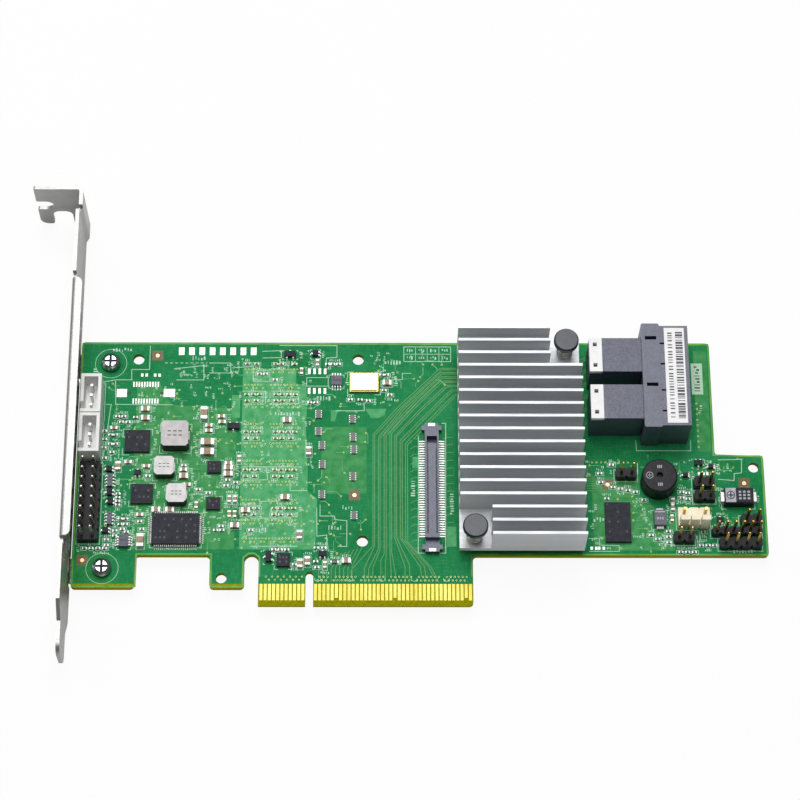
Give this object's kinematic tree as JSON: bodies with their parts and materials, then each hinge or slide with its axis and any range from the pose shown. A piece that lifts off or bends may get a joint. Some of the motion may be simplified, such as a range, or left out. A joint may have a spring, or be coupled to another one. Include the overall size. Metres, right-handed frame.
{
  "type": "raid controller card",
  "caption": "Full-height expansion card with a finned heat sink, a dual cable port at its far end, gold edge contacts and a vented end bracket.",
  "frame": {"origin": "middle of the key slot on the mating edge, at the component-side face of the board", "axes": "+X from the bracket to the far end, +Y from the edge contacts to the top edge, +Z out of the component side"},
  "size_m": [0.1798, 0.12, 0.0192],
  "materials": {
    "green_laminate": "green solder mask over glass laminate",
    "gold_plate": "gold plating",
    "bracket_steel": "nickel-plated sheet steel",
    "screw_steel": "bright plated steel",
    "fin_aluminium": "clear anodised extrusion",
    "chip_package": "laminate carrier with metal lid",
    "grey_pad": "soft heat pad",
    "pin_black": "moulded nylon",
    "spring_steel": "drawn wire",
    "port_moulding": "glass-filled dark moulding",
    "block_moulding": "dark moulding",
    "comb_white": "white moulding",
    "label_white": "blank paper label",
    "label_green": "blank pale label",
    "buzzer_black": "moulded case",
    "header_black": "moulded header",
    "socket_white": "white nylon",
    "socket_dark": "dark moulding",
    "ivory_moulding": "ivory nylon",
    "epoxy_black": "moulded epoxy",
    "tin_plate": "tinned metal",
    "ceramic_tan": "ceramic",
    "resistor_black": "glazed resistor",
    "inductor_grey": "pressed iron powder",
    "inductor_light": "pressed iron powder",
    "gold_lid": "gold-plated lid",
    "ceramic_white": "ceramic tray"
  },
  "bodies": {
    "root": {"circuit_board": "green_laminate", "edge_contacts": "gold_plate", "bracket": "bracket_steel", "bracket_screws": "screw_steel", "heat_sink": "fin_aluminium", "controller_chip": "chip_package", "thermal_pad": "grey_pad", "push_pins": "pin_black", "push_pin_springs": "spring_steel", "port_housing": "port_moulding", "port_contact_blocks": "block_moulding", "port_combs": "comb_white", "port_contacts": "gold_plate", "port_label": "label_white", "board_label": "label_green", "buzzer": "buzzer_black", "management_header": "header_black", "management_header_pins": "gold_plate", "serial_header": "header_black", "indicator_header": "header_black", "jumper_headers": "header_black", "small_header_pins": "gold_plate", "shrouded_sockets": "socket_white", "shrouded_socket_pins": "tin_plate", "ivory_header": "ivory_moulding", "ivory_header_pins": "gold_plate", "solder_tails": "tin_plate", "mezzanine_socket": "socket_dark", "mezzanine_leads": "tin_plate", "regulator_chips": "epoxy_black", "flash_chip": "epoxy_black", "quad_chip": "epoxy_black", "quad_chip_leads": "tin_plate", "small_outline_chips": "epoxy_black", "small_outline_leads": "tin_plate", "transistors": "epoxy_black", "transistor_leads": "tin_plate", "memory_chips": "epoxy_black", "oscillator_base": "ceramic_white", "oscillator_lid": "gold_lid", "large_inductor": "inductor_grey", "small_inductors": "inductor_light", "inductor_terminals": "tin_plate", "tantalum_capacitor": "epoxy_black", "tantalum_terminals": "tin_plate", "diode": "epoxy_black", "diode_terminals": "tin_plate", "ceramic_capacitors": "ceramic_tan", "ceramic_capacitor_ends": "tin_plate", "decoupling_capacitors": "ceramic_tan", "decoupling_capacitor_ends": "tin_plate", "resistors": "resistor_black", "resistor_ends": "tin_plate", "resistor_arrays": "resistor_black", "resistor_array_ends": "tin_plate", "back_capacitors": "ceramic_tan"}
  },
  "joints": []
}
